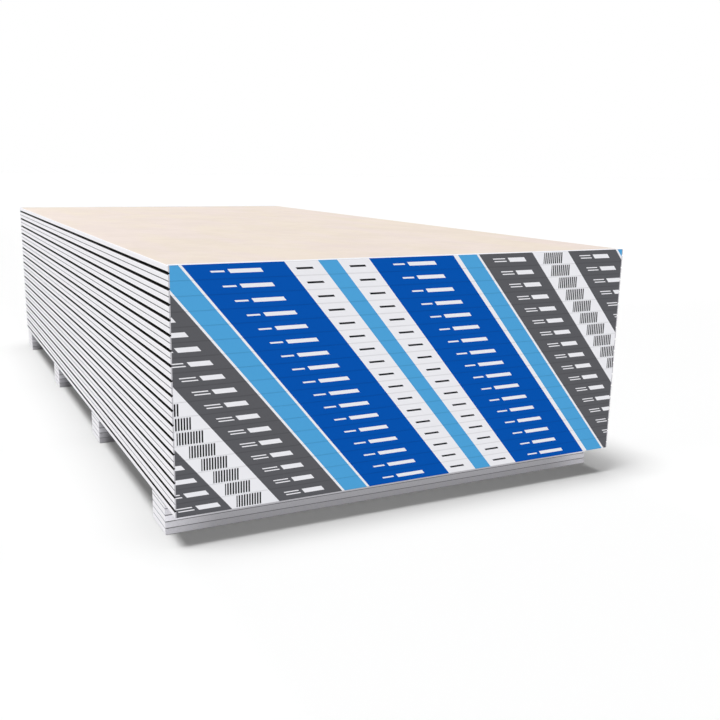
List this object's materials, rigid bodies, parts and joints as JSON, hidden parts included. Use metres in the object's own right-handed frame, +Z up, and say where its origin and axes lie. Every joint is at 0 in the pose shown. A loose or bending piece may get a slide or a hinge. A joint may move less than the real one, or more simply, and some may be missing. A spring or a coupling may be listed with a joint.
{
  "type": "drywall sheet stack",
  "caption": "Stack of tapered-edge gypsum wallboard sheets laid face to face in pairs, with striped paper tape folded over both ends, on strip risers that leave fork gaps.",
  "frame": {"origin": "middle of the stack's foot, on the floor", "axes": "+X across the sheets, +Y along them away from the front end, +Z up"},
  "size_m": [1.2192, 2.4386, 0.6193],
  "materials": {
    "wallboard": "matte ivory back paper, off-white face paper wrapped round the long edges",
    "riser_strip": "matte grey-white paper with cut gypsum sides",
    "end_tape": "smooth paper tape printed with slanting stripes"
  },
  "bodies": {
    "root": {"sheet_01": "wallboard", "sheet_02": "wallboard", "sheet_03": "wallboard", "sheet_04": "wallboard", "sheet_05": "wallboard", "sheet_06": "wallboard", "sheet_07": "wallboard", "sheet_08": "wallboard", "sheet_09": "wallboard", "sheet_10": "wallboard", "sheet_11": "wallboard", "sheet_12": "wallboard", "sheet_13": "wallboard", "sheet_14": "wallboard", "sheet_15": "wallboard", "sheet_16": "wallboard", "sheet_17": "wallboard", "sheet_18": "wallboard", "sheet_19": "wallboard", "sheet_20": "wallboard", "sheet_21": "wallboard", "sheet_22": "wallboard", "sheet_23": "wallboard", "sheet_24": "wallboard", "sheet_25": "wallboard", "sheet_26": "wallboard", "sheet_27": "wallboard", "sheet_28": "wallboard", "sheet_29": "wallboard", "sheet_30": "wallboard", "sheet_31": "wallboard", "sheet_32": "wallboard", "sheet_33": "wallboard", "sheet_34": "wallboard", "riser_1_strip_1": "riser_strip", "riser_1_strip_2": "riser_strip", "riser_1_strip_3": "riser_strip", "riser_1_strip_4": "riser_strip", "riser_1_strip_5": "riser_strip", "riser_2_strip_1": "riser_strip", "riser_2_strip_2": "riser_strip", "riser_2_strip_3": "riser_strip", "riser_2_strip_4": "riser_strip", "riser_2_strip_5": "riser_strip", "riser_3_strip_1": "riser_strip", "riser_3_strip_2": "riser_strip", "riser_3_strip_3": "riser_strip", "riser_3_strip_4": "riser_strip", "riser_3_strip_5": "riser_strip", "riser_4_strip_1": "riser_strip", "riser_4_strip_2": "riser_strip", "riser_4_strip_3": "riser_strip", "riser_4_strip_4": "riser_strip", "riser_4_strip_5": "riser_strip", "front_end_tapes": "end_tape", "rear_end_tapes": "end_tape"}
  },
  "joints": []
}
